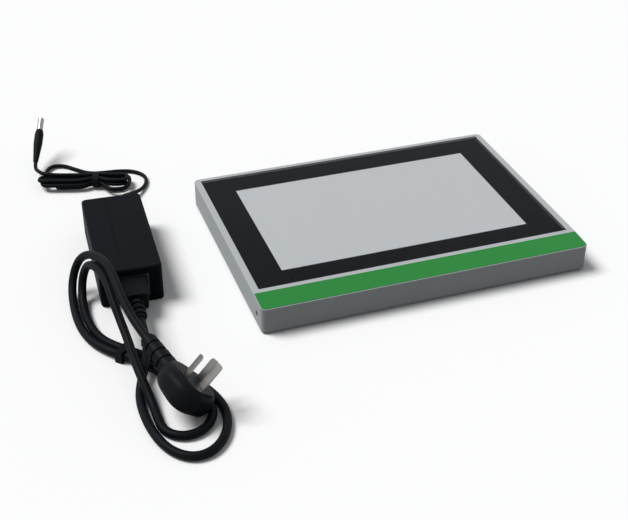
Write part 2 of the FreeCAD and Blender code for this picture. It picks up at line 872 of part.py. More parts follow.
# Rocker switch
def make_switch():
    body = new_body("switch_body")
    flange = new_sketch(body, "YZ", z="body_width / 2")
    draw_rectangle(flange, "switch_bezel_length", "switch_bezel_width", "switch_y", "switch_z")
    raise_pad(body, flange, "switch_bezel_rise")
    face = value("switch_face")

    def outer_rim(edge):
        box_round = edge.BoundBox
        return abs(box_round.XMin - face) < 1e-4 and abs(box_round.XMax - face) < 1e-4

    round_edges(body, "switch_bezel_rise / 2", outer_rim)
    block = new_sketch(body, "YZ", z="body_width / 2")
    draw_rectangle(block, "switch_body_length", "switch_body_width", "switch_y", "switch_z")
    raise_pad(body, block, "switch_body_depth", downwards=True)
    cavity = new_sketch(body, "YZ", z="switch_face")
    draw_rectangle(cavity, "cavity_length", "cavity_width", "switch_y", "switch_z")
    cut_pocket(body, cavity, "switch_cavity_depth")
    bearing = new_sketch(body, "XY", z="switch_z")
    draw_circle(bearing, "rocker_axle + 2 * axle_fit", "body_width / 2", "switch_y")
    cut_pocket(body, bearing, "cavity_width + switch_skin", both_ways=True)
    keep(body, "switch_body")

    tags = []
    for side in (-1, 1):
        tags.append(box("switch_tag", "terminal_length", "terminal_thickness", "terminal_width",
                        "body_width / 2 - switch_body_depth - terminal_length / 2",
                        f"switch_y + {side} * switch_body_length / 4",
                        "switch_z - terminal_width / 2"))
    keep(group("switch_tags", tags), "switch_terminals")


def make_rocker():
    """A saddle-backed rocker on its axle, drawn level and then tipped to its off position."""
    drum = rod("rocker_drum", "2 * rocker_radius", "rocker_width", z="-rocker_width / 2")
    slab = box("rocker_slab", "rocker_rise + rocker_depth", "2 * rocker_radius", "rocker_width",
               "(rocker_rise - rocker_depth) / 2", "0", "-rocker_width / 2")
    blank = common("rocker_blank", [drum, slab])
    saddle = rod("rocker_saddle", "2 * rocker_saddle_radius", "2 * rocker_width",
                 "rocker_saddle_radius + rocker_saddle_rise", "0", "-rocker_width")
    shaped = cut("rocker_shaped", blank, saddle)
    axle = rod("rocker_axle_rod", "rocker_axle", "cavity_width + switch_skin - 2 * axle_fit",
               z="-(cavity_width + switch_skin) / 2 + axle_fit")
    rocker = fuse("rocker_fused", [shaped, axle])
    rocker.Placement = FreeCAD.Placement(V(0, 0, 0), Turn(V(0, 0, 1), 1))
    bind(rocker, "Placement.Rotation.Angle", "rocker_tilt")
    set_place(rocker, "body_width / 2", "switch_y", "switch_z")
    keep(rocker, "switch_rocker")


# Tubes for wires and cords
def smooth_path(points):
    """Straight runs joined by tangent arcs, each arc as large as its shorter run allows."""
    edges = []
    radii = []
    start = points[0]
    for before, corner, after in zip(points, points[1:], points[2:]):
        back = (before - corner).normalize()
        ahead = (after - corner).normalize()
        half_turn = (math.pi - back.getAngle(ahead)) / 2
        reach = 0.45 * min((corner - before).Length, (after - corner).Length)
        radius = reach / math.tan(half_turn)
        radii.append(radius)
        enter = corner + back * reach
        leave = corner + ahead * reach
        centre = corner + (back + ahead).normalize() * (radius / math.cos(half_turn))
        middle = centre + (corner - centre).normalize() * radius
        edges.append(Part.LineSegment(start, enter).toShape())
        edges.append(Part.Arc(enter, middle, leave).toShape())
        start = leave
    edges.append(Part.LineSegment(start, points[-1]).toShape())
    return Part.Wire(edges), radii


def tube(points, diameter):
    path, radii = smooth_path([V(*point) for point in points])
    direction = V(*points[1]) - V(*points[0])
    ring = Part.Wire([Part.makeCircle(diameter / 2, V(*points[0]), direction)])
    solid = path.makePipeShell([ring], True, False)
    expected = math.pi * diameter ** 2 / 4 * path.Length
    return solid, path.Length, min(radii) if radii else 0, solid.Volume / expected


def make_tube(label, points, diameter):
    solid, length, radius, share = tube(points, diameter)
    print(f"{label}: length {length:.0f}, smallest radius {radius:.1f}, volume share {share:.3f}")
    item = doc.addObject("Part::Feature", label)
    item.Shape = solid
    return keep(item, label)


def make_wires():
    """Pairs of wires held in the front bay, from the socket and switch to the driver."""
    wire = SIZES["wire_diameter"]
    spacing = wire + 0.3
    socket_end = value("socket_face + socket_length + terminal_length")
    socket_side = value("socket_width / 4")
    socket_y, socket_z = value("socket_y"), value("socket_z")
    switch_end = value("body_width / 2 - switch_body_depth - terminal_length")
    switch_side = value("switch_body_length / 4")
    switch_y, switch_z = value("switch_y"), value("switch_z")
    board_y = value("board_y")
    header_z = value("board_top + header_height / 2")
    half_header = value("header_length / 2")
    input_x = value("board_middle + input_header_place")
    output_x = value("board_middle + output_header_place")
    lane_y = value("front_boss_y + boss_diameter / 2 + 4 * wire_diameter")
    lane_z = value("cover_top + wire_diameter")
    header_top = value("board_top + header_height")
    notch_x = value("tray_inner_length / 2 - 2 * tray_notch_width")
    notch_z = value("ledge_base - diffuser_thickness - film_thickness - led_board_height / 4")
    row_front, row_back = value("led_row_front"), value("led_row_back")
    lane_x = value("tray_half + tray_ear_length / 4")

    def socket_route(side):
        shift = side * spacing / 2
        return [
            (socket_end - 1, socket_y + side * socket_side, socket_z),
            (socket_end + 7, socket_y + side * socket_side, socket_z - 1),
            (socket_end + 16, lane_y + shift, lane_z + 1),
            (socket_end + 60, lane_y + shift, lane_z),
            (input_x - 31, lane_y + shift, lane_z + 0.5),
            (input_x - 20, board_y + shift, header_z - 2),
            (input_x - half_header, board_y + shift, header_z),
        ]

    def switch_route(side):
        shift = side * spacing / 2
        return [
            (switch_end + 1, switch_y + side * switch_side, switch_z),
            (switch_end - 6, switch_y + side * switch_side, switch_z + 1),
            (switch_end - 14, board_y + 6 + shift, header_z + 1),
            (output_x + 18, board_y + 5 + shift, header_z + 0.5),
            (output_x + 10, board_y + shift, header_z),
            (output_x + half_header, board_y + shift, header_z - 0.2),
        ]

    def front_led_route(side):
        shift = side * spacing / 2
        return [
            (output_x + 1.4 + shift, board_y, header_top - 0.5),
            (output_x + 2 + shift, board_y + 1.5, header_top + 3.2),
            (output_x + 9 + shift, board_y + 6, header_top + 4.2),
            (notch_x - 7 + shift, row_front - 9, notch_z + 2),
            (notch_x + shift, row_front - 5, notch_z),
            (notch_x + shift, row_front, notch_z),
        ]

    def rear_led_route(side):
        """Under the tray's edge to the back, then up behind the tray to its notch."""
        shift = side * spacing / 2
        return [
            (output_x - 2.2 + shift, board_y, header_top - 0.5),
            (output_x - 1.8 + shift, board_y + 3.5, header_top + 2.6),
            (output_x + 2 + shift, board_y + 12, header_z + 2),
            (output_x + 18, row_front - 9 + shift, header_z - 2),
            (lane_x - 11, row_front - 1 + shift, header_z - 3),
            (lane_x - shift, row_front + 15, header_z - 3.5),
            (lane_x - 0.8 - shift, row_front + 62, header_z - 3),
            (lane_x + 0.4 - shift, row_front + 110, header_z - 3.5),
            (lane_x - 1.0 - shift, row_back - 14, header_z - 3.2),
            (lane_x - 5 - shift, row_back - 1 - shift, header_z - 2.4),
            (notch_x + 9, row_back + 4.6 - shift, header_z - 1.4),
            (notch_x + 2.5 + shift, row_back + 6.4 - shift, notch_z - 1.9),
            (notch_x + shift, row_back + 4.4, notch_z),
            (notch_x + shift, row_back, notch_z),
        ]

    routes = (
        ("socket_wires", socket_route),
        ("switch_wires", switch_route),
        ("front_led_wires", front_led_route),
        ("rear_led_wires", rear_led_route),
    )
    for label, route in routes:
        item = doc.addObject("Part::Feature", label)
        item.Shape = Part.makeCompound([tube(route(side), wire)[0] for side in (-1, 1)])
        keep(item, label)


# Power adapter
def make_adapter_half(label, base, height, outer_level):
    """One half of the adapter's case, rounded outside and bevelled along the seam."""
    body = new_body(label)
    outline = new_sketch(body, "XY", z=base)
    middle = "adapter_length / 2"
    draw_rectangle(outline, "adapter_width", "adapter_length", y=middle)
    raise_pad(body, outline, height)
    round_edges(body, "adapter_corner", is_upright)
    outer = value(outer_level)
    round_edges(body, "adapter_edge", lambda edge: is_level_at(edge, outer))
    seam = value("adapter_seam")
    bevel_edges(body, "seam_bevel", lambda edge: is_level_at(edge, seam))
    return body


def hollow_adapter_half(body, base, height, upper):
    inner_width = "adapter_width - 2 * adapter_wall"
    inner_length = "adapter_length - 2 * adapter_wall"
    middle = "adapter_length / 2"
    if upper:
        hollow = new_sketch(body, "XY", z=base)
        draw_rectangle(hollow, inner_width, inner_length, y=middle)
        cut_pocket(body, hollow, f"{height} - adapter_wall", forwards=True)
    else:
        hollow = new_sketch(body, "XY", z=f"{base} + {height}")
        draw_rectangle(hollow, inner_width, inner_length, y=middle)
        cut_pocket(body, hollow, f"{height} - adapter_wall")
    inlet = new_sketch(body, "XZ", z="1")
    draw_rectangle(inlet, "inlet_width + 2 * running_fit", "inlet_height + 2 * running_fit",
                   y="adapter_seam")
    cut_pocket(body, inlet, "adapter_wall + 2")
    outlet = new_sketch(body, "XZ", z="-adapter_length - 1")
    draw_circle(outlet, "gland_diameter + 2 * running_fit", "gland_x", "adapter_seam")
    cut_pocket(body, outlet, "adapter_wall + 2", forwards=True)


def make_adapter_case():
    lower = make_adapter_half("adapter_lower", "0", "adapter_seam", "0")
    hollow_adapter_half(lower, "0", "adapter_seam", upper=False)
    keep(on_adapter(lower), "adapter_bottom_case")
    rise = "adapter_height - adapter_seam"
    upper = make_adapter_half("adapter_upper", "adapter_seam", rise, "adapter_height")
    hollow_adapter_half(upper, "adapter_seam", rise, upper=True)
    groove = new_sketch(upper, "XY", z="adapter_height")
    draw_rectangle(groove, "groove_width", "groove_length", "groove_side",
                   "adapter_length - groove_length / 2")
    cut_pocket(upper, groove, "groove_depth")
    keep(on_adapter(upper), "adapter_top_case")


def make_adapter_inside():
    board = box("adapter_pcb", "adapter_width - 2 * adapter_wall - 2 * adapter_board_margin",
                "adapter_length - 2 * adapter_wall - inlet_depth - 2 * adapter_board_margin",
                "adapter_board_thickness", "0",
                "(adapter_length - adapter_wall + inlet_depth) / 2", "adapter_board_height")
    posts = [board]
    for side in (-1, 1):
        for end in (-1, 1):
            y = f"(adapter_length - adapter_wall + inlet_depth) / 2 + {end} * adapter_length / 3"
            posts.append(rod("adapter_post", "adapter_post_diameter", "adapter_board_height - adapter_wall",
                             f"{side} * adapter_width / 3", y, "adapter_wall"))
    keep(on_adapter(fuse("adapter_board_fused", posts)), "adapter_board")

    ring = box("core_ring", "transformer_width", "transformer_length", "transformer_height", "0",
               "transformer_y", "adapter_board_top")
    slot_width = "(transformer_width - 3 * transformer_leg) / 2"
    tools = []
    for side in (-1, 1):
        x = f"{side} * (transformer_leg / 2 + ({slot_width}) / 2)"
        tools.append(box("core_slot", slot_width, "transformer_length + 2",
                         "transformer_height - transformer_leg", x, "transformer_y",
                         "adapter_board_top + transformer_leg / 2"))
    core = cut("core_cut", ring, group("core_slots", tools))
    keep(on_adapter(core), "transformer_core")
    winding = []
    for side in (-1, 1):
        x = f"{side} * (transformer_leg / 2 + ({slot_width}) / 2)"
        winding.append(box("winding", slot_width, "transformer_length + 3",
                           "transformer_height - transformer_leg", x, "transformer_y",
                           "adapter_board_top + transformer_leg / 2"))
    keep(on_adapter(group("windings", winding)), "transformer_winding")

    cans = [rod("bulk_can", "bulk_capacitor_diameter", "bulk_capacitor_length",
                "-adapter_width / 4", "inlet_depth + bulk_capacitor_place",
                "adapter_board_top + bulk_capacitor_diameter / 2", "y")]
    for place in ("first_output_place", "second_output_place"):
        cans.append(rod("output_can", "output_capacitor_diameter", "output_capacitor_height",
                        "adapter_width / 4", place, "adapter_board_top"))
    keep(on_adapter(group("adapter_cans", cans)), "adapter_capacitors")
    sinks = []
    for side, place in ((1, "right_heatsink_place"), (-1, "left_heatsink_place")):
        sinks.append(box("heat_plate", "heatsink_thickness", "heatsink_length", "heatsink_height",
                         f"{side} * (adapter_width / 2 - adapter_wall - heatsink_side_gap)", place,
                         "adapter_board_top"))
    keep(on_adapter(group("heat_plates", sinks)), "adapter_heatsinks")
    choke = doc.addObject("Part::Torus", "choke")
    bind(choke, "Radius1", "(choke_diameter - choke_wire) / 2")
    bind(choke, "Radius2", "choke_wire / 2")
    set_place(choke, "adapter_width / 6", "inlet_depth + choke_place", "adapter_board_top + choke_wire / 2")
    keep(on_adapter(group("choke_set", [choke])), "mains_choke")


def draw_inlet_outline(sketch, width, height, chamfer):
    half, rise = f"({width}) / 2", f"({height}) / 2"
    corners = [
        (f"-({half})", f"adapter_seam - {rise}"),
        (half, f"adapter_seam - {rise}"),
        (half, f"adapter_seam + {rise} - {chamfer}"),
        (f"{half} - {chamfer}", f"adapter_seam + {rise}"),
        (f"{chamfer} - {half}", f"adapter_seam + {rise}"),
        (f"-({half})", f"adapter_seam + {rise} - {chamfer}"),
    ]
    draw_polygon(sketch, corners)


def inlet_pins():
    """Centres of the three pins: two beside each other and the earth pin above."""
    places = []
    for side in (-1, 0, 1):
        step = 1 if side == 0 else -1
        places.append((f"{side} * inlet_pin_spacing", f"adapter_seam + {step} * inlet_pin_step"))
    return places


def make_inlet():
    body = new_body("mains_inlet")
    outline = new_sketch(body, "XZ")
    draw_rectangle(outline, "inlet_width", "inlet_height", y="adapter_seam")
    raise_pad(body, outline, "inlet_depth", downwards=True)
    cavity = new_sketch(body, "XZ")
    draw_inlet_outline(cavity, "inlet_cavity_width", "inlet_cavity_height", "inlet_chamfer")
    cut_pocket(body, cavity, "inlet_cavity_depth")
    keep(on_adapter(body), "mains_inlet")
    pins = []
    for x, z in inlet_pins():
        pins.append(box("inlet_pin", "inlet_pin_width", "inlet_pin_length", "inlet_pin_height", x,
                        "inlet_cavity_depth - inlet_pin_length / 2", f"{z} - inlet_pin_height / 2"))
    keep(on_adapter(group("inlet_pin_set", pins)), "mains_inlet_pins")


def make_mains_connector():
    """Nose, tapering grip and ribbed relief, moulded in one piece round the cord."""
    body = new_body("mains_connector")
    nose = new_sketch(body, "XZ")
    draw_inlet_outline(nose, "nose_width", "nose_height", "inlet_chamfer")
    raise_pad(body, nose, "nose_length", downwards=True)
    wide = new_sketch(body, "XZ", z="0.3")
    draw_rectangle(wide, "grip_width", "grip_height", y="adapter_seam")
    narrow = new_sketch(body, "XZ", z="grip_length")
    draw_rectangle(narrow, "grip_end_width", "grip_end_height", y="adapter_seam")
    grip = body.newObject("PartDesign::AdditiveLoft", "mains_connector_grip")
    grip.Profile = wide
    grip.Sections = [narrow]
    grip.Ruled = True
    neck = new_sketch(body, "XZ")
    draw_inlet_outline(neck, "nose_width", "nose_height", "inlet_chamfer")
    raise_pad(body, neck, "1")
    doc.recompute()
    far = -value("grip_length")

    def long_edge(edge):
        ends = [vertex.Y for vertex in edge.Vertexes]
        return len(ends) == 2 and min(ends) < far + 0.01 and max(ends) > -0.5

    round_edges(body, "grip_edge", long_edge)
    for x, z in inlet_pins():
        slot = new_sketch(body, "XZ", z="-nose_length")
        draw_rectangle(slot, "inlet_pin_width + 2 * pin_slot_fit",
                       "inlet_pin_height + 2 * pin_slot_fit", x, z)
        cut_pocket(body, slot, "inlet_pin_length", forwards=True)
    ribs = new_sketch(body, "XY", z="adapter_seam")
    outline = [("0", "-grip_length + 0.5"), ("relief_diameter / 2", "-grip_length + 0.5")]
    reach = "-grip_length"
    for number in range(int(SIZES["relief_ribs"])):
        share = (number + 1) / SIZES["relief_ribs"]
        core = f"(relief_diameter + (relief_end_diameter - relief_diameter) * {share}) / 2"
        rib = f"{core} + (relief_rib_diameter - relief_diameter) / 2"
        reach = f"{reach} - relief_gap_width"
        outline.append((core, reach))
        outline.append((rib, reach))
        reach = f"{reach} - relief_rib_width"
        outline.append((rib, reach))
        outline.append((core, reach))
    reach = f"{reach} - relief_gap_width"
    outline.append(("relief_end_diameter / 2", reach))
    outline.append(("0", reach))
    draw_polygon(ribs, outline)
    turn = body.newObject("PartDesign::Revolution", "mains_connector_relief")
    turn.Profile = ribs
    turn.ReferenceAxis = (ribs, ["V_Axis"])
    turn.Angle = 360
    keep(on_adapter(body), "mains_connector")


def make_gland():
    collar = rod("gland_collar", "gland_diameter", "adapter_wall + 1", "gland_x",
                 "adapter_length - adapter_wall - 0.5", "adapter_seam", "y")
    inner = rod("gland_flange_ring", "gland_flange", "gland_flange_thickness", "gland_x",
                "adapter_length - adapter_wall - gland_flange_thickness", "adapter_seam", "y")
    sleeve = cone("gland_sleeve", "gland_diameter", "gland_end_diameter", "gland_length", "gland_x",
                  "adapter_length + 0.4", "adapter_seam", "y")
    keep(on_adapter(fuse("gland_fused", [collar, inner, sleeve])), "lead_strain_relief")


# Low-voltage lead: route points are chosen by hand along the surface.
LEAD_START = [
    (-204.9, 92.7, 16.5),
    (-204.1, 106.5, 16.5),
    (-199.6, 118.5, 11.6),
    (-191.0, 128.5, 6.2),
    (-180.5, 138.5, 2.9),
    (-173.2, 150.5, 1.9),
    (-171.8, 164.0, 1.9),
    (-179.5, 175.5, 1.9),
    (-192.5, 181.5, 1.9),
    (-206.5, 184.0, 1.9),
    (-220.0, 189.5, 1.9),
    (-232.5, 197.0, 1.9),
    (-244.0, 201.5, 1.9),
    (-253.0, 198.8, 2.2),
    (-257.6, 190.5, 3.6),
    (-257.6, 181.0, 5.2),
    (-254.8, 172.5, 5.6),
]
LEAD_END = [
    (-260.0, 174.2, 7.6),
    (-262.6, 181.2, 8.6),
    (-266.0, 188.6, 8.2),
    (-267.9, 199.7, 8.2),
    (-264.9, 208.4, 13.1),
]

# Mains cord: from the connector's relief to the plug's relief, two and a half turns.
MAINS_ROUTE = [
    (-226.4, -67.0, 16.5),
    (-227.4, -83.0, 16.5),
    (-227.4, -97.0, 13.2),
    (-230.4, -110.0, 11.6),
    (-234.6, -122.5, 10.4),
    (-239.8, -133.5, 7.2),
    (-243.9, -144.5, 3.9),
    (-245.6, -157.0, 3.4),
    (-245.6, -170.5, 3.4),
    (-244.2, -184.5, 3.4),
    (-240.8, -199.0, 3.4),
    (-234.6, -211.0, 3.4),
    (-225.3, -218.8, 3.4),
    (-214.2, -219.6, 3.4),
    (-204.0, -213.4, 3.4),
    (-196.4, -203.2, 3.4),
    (-191.6, -190.0, 3.4),
    (-190.6, -175.0, 3.4),
    (-195.0, -157.5, 3.4),
    (-204.4, -139.8, 3.4),
    (-215.0, -123.8, 3.5),
    (-225.0, -111.0, 3.9),
    (-233.75, -101.21, 4.65),
    (-250.72, -84.24, 4.65),
    (-258.4, -70.0, 3.4),
    (-262.2, -55.0, 3.4),
    (-263.2, -39.5, 3.4),
    (-262.8, -26.0, 4.4),
    (-261.8, -16.0, 8.0),
    (-259.8, -9.5, 15.0),
    (-257.4, -8.0, 23.0),
    (-254.9, -11.5, 31.0),
    (-252.1, -20.0, 36.6),
    (-248.8, -31.5, 39.4),
    (-246.4, -43.5, 39.2),
    (-245.6, -56.0, 37.4),
    (-245.3, -67.5, 34.2),
    (-244.4, -78.5, 29.6),
    (-243.2, -89.5, 24.8),
    (-242.2, -101.0, 20.8),
    (-241.8, -114.0, 18.0),
    (-241.6, -127.0, 16.2),
    (-240.6, -139.0, 13.4),
    (-239.0, -149.5, 8.6),
    (-237.7, -160.0, 4.6),
    (-237.6, -172.5, 3.4),
    (-236.9, -185.0, 3.4),
    (-232.4, -192.8, 3.4),
    (-224.7, -197.3, 3.4),
    (-215.7, -197.3, 3.4),
    (-207.4, -193.2, 3.4),
    (-201.2, -185.0, 3.4),
    (-198.4, -174.6, 3.4),
    (-201.0, -162.0, 3.4),
    (-209.6, -146.6, 3.4),
    (-220.2, -130.6, 3.4),
    (-230.0, -117.2, 3.8),
    (-238.69, -106.15, 4.65),
    (-255.66, -89.18, 4.65),
    (-264.4, -74.5, 3.4),
    (-269.2, -57.5, 3.4),
    (-270.6, -40.0, 3.4),
    (-270.0, -23.0, 3.9),
    (-268.6, -9.5, 6.8),
    (-266.0, -0.5, 13.2),
    (-262.2, 3.4, 21.6),
    (-257.9, 1.2, 30.6),
    (-253.0, -6.0, 37.8),
    (-247.8, -17.0, 42.4),
    (-243.6, -30.0, 44.8),
    (-241.2, -44.0, 44.8),
    (-240.2, -59.0, 42.8),
    (-239.4, -75.0, 39.4),
    (-237.0, -91.5, 35.2),
    (-232.9, -108.6, 31.4),
    (-228.6, -123.8, 28.7),
]


def plug_frame():
    turn = Turn(SIZES["plug_yaw"], SIZES["plug_pitch"], SIZES["plug_roll"])
    return FreeCAD.Placement(V(SIZES["plug_x"], SIZES["plug_y"], SIZES["plug_z"]), turn)


def lead_plug_frame():
    """The plug stands up a little from the wound lead that holds it."""
    turn = Turn(V(0, 0, 1), SIZES["lead_plug_turn"]) * Turn(V(1, 0, 0), SIZES["lead_plug_tilt"])
    return FreeCAD.Placement(V(SIZES["lead_plug_x"], SIZES["lead_plug_y"], SIZES["lead_plug_z"]), turn)


def make_lead():
    diameter = SIZES["lead_diameter"]
    make_tube("lead_from_adapter", LEAD_START, diameter)
    make_tube("lead_to_plug", LEAD_END, diameter)

    # The wound hank: flattened rings along its length, with a level neck under the tie.
    length, width, height = SIZES["hank_length"], SIZES["hank_width"], SIZES["hank_height"]
    neck_width, neck_height = SIZES["hank_waist_width"], SIZES["hank_waist_height"]
    tie_thickness = SIZES["lead_tie_thickness"]
    neck = SIZES["hank_waist_place"] * length
    half_tie = SIZES["lead_tie_width"] / 2 + 0.5
    stations = [
        (0.0, 0.45 * width, 0.6 * height, 0.2 * height),
        (0.05 * length, 0.8 * width, 0.9 * height, 0.05 * height),
        (0.25 * length, width, height, 0.0),
        (neck - half_tie, neck_width, neck_height, tie_thickness + 0.15),
        (neck + half_tie, neck_width, neck_height, tie_thickness + 0.15),
        (0.85 * length, width, height, 0.0),
        (0.96 * length, 0.8 * width, 0.9 * height, 0.05 * height),
        (length, 0.45 * width, 0.6 * height, 0.2 * height),
    ]
    across = Turn(V(0, 1, 0), V(0, 0, 1), V(1, 0, 0), "XYZ")
    rings = []
    for along, wide, high, low in stations:
        ring = Part.Wire([Part.Ellipse(V(0, 0, 0), wide / 2, high / 2).toShape()])
        ring.Placement = FreeCAD.Placement(V(along - length / 2, 0, low + high / 2), across)
        rings.append(ring)
    hank = doc.addObject("Part::Feature", "hank")
    hank.Shape = Part.makeLoft(rings, True, False)
    place = FreeCAD.Placement(V(SIZES["hank_x"], SIZES["hank_y"], 0.2), Turn(V(0, 0, 1), SIZES["hank_turn"]))
    hank.Placement = place
    keep(hank, "lead_hank")

    bands = []
    for grow in (tie_thickness + 0.1, 0.1):
        ring = Part.Ellipse(V(0, 0, 0), neck_width / 2 + grow, neck_height / 2 + grow).toShape()
        bands.append(Part.Face(Part.Wire([ring])).extrude(V(0, 0, SIZES["lead_tie_width"])))
    middle = V(neck - length / 2 - SIZES["lead_tie_width"] / 2, 0, tie_thickness + 0.15 + neck_height / 2)
    tie = doc.addObject("Part::Feature", "hank_tie")
    tie.Shape = bands[0].cut(bands[1])
    tie.Placement = place * FreeCAD.Placement(middle, across)
    keep(tie, "lead_tie")


def make_lead_plug():
    """Grip between two tapers, and the bored metal barrel, along +Y of their own frame."""
    frame = lead_plug_frame()
    tail = cone("lead_tail", "lead_tail_diameter", "lead_grip_diameter", "lead_tail_length", axis="y")
    grip = rod("lead_grip", "lead_grip_diameter", "lead_grip_length", y="lead_tail_length", axis="y")
    shoulder = cone("lead_shoulder", "lead_grip_diameter", "lead_shoulder_diameter",
                    "lead_shoulder_length", y="lead_tail_length + lead_grip_length", axis="y")
    body = fuse("lead_plug_fused", [tail, grip, shoulder])
    body.Placement = frame
    keep(body, "lead_plug_grip")
    start = "lead_tail_length + lead_grip_length + lead_shoulder_length"
    shell = rod("barrel_shell", "barrel_diameter", "barrel_length", y=start, axis="y")
    hole = rod("barrel_hole", "barrel_bore", "barrel_bore_depth",
               y=f"{start} + barrel_length - barrel_bore_depth", axis="y")
    barrel = cut("barrel_cut", shell, hole)
    barrel.Placement = frame
    keep(barrel, "lead_plug_barrel")


def make_mains_cord():
    make_tube("mains_cord", MAINS_ROUTE, SIZES["cord_diameter"])
    width, height = "cord_tie_inner_width", "cord_tie_inner_height"
    outer = box("tie_outer", "cord_tie_length", f"{width} + 2 * cord_tie_thickness",
                f"{height} + 2 * cord_tie_thickness")
    inner = box("tie_inner", "cord_tie_length + 2", width, height, z="cord_tie_thickness")
    tie = cut("tie_cut", outer, inner)
    tie.Placement = FreeCAD.Placement(V(0, 0, 0), Turn(V(0, 0, 1), 1))
    bind(tie, "Placement.Rotation.Angle", "cord_tie_turn")
    set_place(tie, "cord_tie_x", "cord_tie_y", "0")
    keep(tie, "cord_tie")


def rounded_ring(x, width, low, high, radius):
    """A rounded rectangle across the plug at x, from low to high."""
    half = width / 2
    radius = min(radius, half * 0.95, (high - low) * 0.48)
    corners = [(half, low), (half, high), (-half, high), (-half, low)]
    edges = []
    for number, (y, z) in enumerate(corners):
        before = corners[number - 1]
        after = corners[(number + 1) % 4]
        corner = V(x, y, z)
        back = (V(x, *before) - corner).normalize() * radius
        ahead = (V(x, *after) - corner).normalize() * radius
        middle = corner + (back + ahead) * (1 - math.sqrt(0.5))
        edges.append(Part.Arc(corner + back, middle, corner + ahead).toShape())
    ring = []
    for number, arc in enumerate(edges):
        following = edges[(number + 1) % 4]
        ring.append(arc)
        ring.append(Part.LineSegment(arc.Vertexes[-1].Point, following.Vertexes[0].Point).toShape())
    return Part.Wire(ring)


def make_mains_plug():
    """Right-angled three-blade plug; its face is z = 0 of its own frame, its cord leaves along -X."""
    frame = plug_frame()
    width, thick = SIZES["plug_width"], SIZES["plug_thickness"]
    head, neck = SIZES["plug_head_length"], SIZES["plug_neck_diameter"]
    depth = SIZES["plug_axis_depth"]
    front = width / 2
    stations = [
        (front, 0.42 * width, -0.80 * thick, -0.22 * thick, 0.28 * thick),
        (front - 0.07 * head, 0.72 * width, -0.93 * thick, -0.06 * thick, 0.36 * thick),
        (front - 0.22 * head, 0.94 * width, -thick, 0.0, 0.36 * thick),
        (front - 0.45 * head, width, -thick, 0.0, 0.36 * thick),
        (front - 0.66 * head, 0.96 * width, -0.98 * thick, -0.02 * thick, 0.36 * thick),
        (front - 0.84 * head, 0.80 * width, -0.94 * thick, -0.05 * thick, 0.34 * thick),
        (front - head, neck, -depth - neck / 2, -depth + neck / 2, 0.45 * neck),
    ]
    rings = [rounded_ring(*station) for station in stations]
    shell = Part.makeLoft(rings, True, False)

    # The ribbed relief: a taper with grooves cut round it.
    relief_length = SIZES["plug_relief_length"]
    relief_start, relief_end = SIZES["plug_relief_start"], SIZES["plug_relief_end"]
    ribs = int(SIZES["plug_relief_ribs"])
    groove = SIZES["plug_relief_rib_depth"]
    start = front - head + 0.5
    outline = [V(start, 0, 0)]
    for number in range(ribs):
        share = number / ribs
        radius = (relief_start + (relief_end - relief_start) * share) / 2
        far = start - relief_length * (number + 0.7) / ribs
        outline.append(V(start - relief_length * share, radius, 0))
        outline.append(V(far, radius, 0))
        outline.append(V(far, radius - groove, 0))
        outline.append(V(start - relief_length * (number + 1) / ribs, radius - groove, 0))
    outline.append(V(start - relief_length, 0, 0))
    outline.append(outline[0])
    face = Part.Face(Part.makePolygon(outline))
    relief = face.revolve(V(0, 0, 0), V(1, 0, 0), 360)
    relief.translate(V(0, 0, -depth))
    whole = shell.fuse(relief)

    insert_length, insert_width = SIZES["plug_insert_length"], SIZES["plug_insert_width"]
    insert_thick, rise = SIZES["plug_insert_thickness"], SIZES["plug_insert_rise"]
    middle = (SIZES["earth_forward"] - SIZES["blade_back"]) / 2
    insert = Part.makeBox(insert_length, insert_width, insert_thick,
                          V(middle - insert_length / 2, -insert_width / 2, rise - insert_thick))
    uprights = [edge for edge in insert.Edges if is_upright(edge)]
    insert = insert.makeFillet(insert_width / 3, uprights)
    whole = whole.cut(insert)

    blades = []
    angle, side = SIZES["blade_angle"], SIZES["blade_side"]
    back, ahead = SIZES["blade_back"], SIZES["earth_forward"]
    settings = (
        ("plug_live_blade", -back, -side, -angle, SIZES["blade_length"]),
        ("plug_neutral_blade", -back, side, angle, SIZES["blade_length"]),
        ("plug_earth_blade", ahead, 0.0, 0.0, SIZES["earth_blade_length"]),
    )
    for label, x, y, turn, length in settings:
        wide, thin = SIZES["blade_width"], SIZES["blade_thickness"]
        root = insert_thick - rise
        blade = Part.makeBox(wide, thin, length + root, V(-wide / 2, -thin / 2, -root))
        corners = [edge for edge in blade.Edges if is_level_at(edge, length) and edge.Length < thin * 1.5]
        blade = blade.makeFillet(SIZES["blade_tip_radius"], corners)
        blade.Placement = FreeCAD.Placement(V(x, y, 0), Turn(V(0, 0, 1), turn))
        blades.append((label, blade))
        insert = insert.cut(blade)

    for label, shape in [("mains_plug_body", whole), ("mains_plug_insert", insert)] + blades:
        item = doc.addObject("Part::Feature", label)
        item.Shape = shape
        item.Placement = frame * shape.Placement
        keep(item, label)


def check_and_export():
    doc.recompute()
    for item in doc.Objects:
        bad = [state for state in item.State if state in ("Invalid", "Error")]
        if bad:
            raise RuntimeError(f"{item.Name} ({item.Label}) is {bad}")
    os.makedirs("parts", exist_ok=True)
    for node in NODES:
        shape = node.Shape
        if shape.isNull() or not shape.isValid() or not shape.Solids:
            raise RuntimeError(f"{node.Label} has no valid solid")
        shape.exportStep(f"parts/{node.Label}.step")
    print(len(NODES), "nodes written")


def main():
    fill_sheet()
    make_housing()
    make_bottom_cover()
    make_feet()
    make_case_screws()
    make_glass()
    make_glass_layers()
    make_strip()
    make_panel()
    make_tray()
    make_tray_screws()
    make_led_rows()
    make_driver()
    make_socket()
    make_switch()
    make_rocker()
    make_wires()
    make_adapter_case()
    make_adapter_inside()
    make_inlet()
    make_mains_connector()
    make_gland()
    make_lead()
    make_lead_plug()
    make_mains_cord()
    make_mains_plug()
    check_and_export()


main()
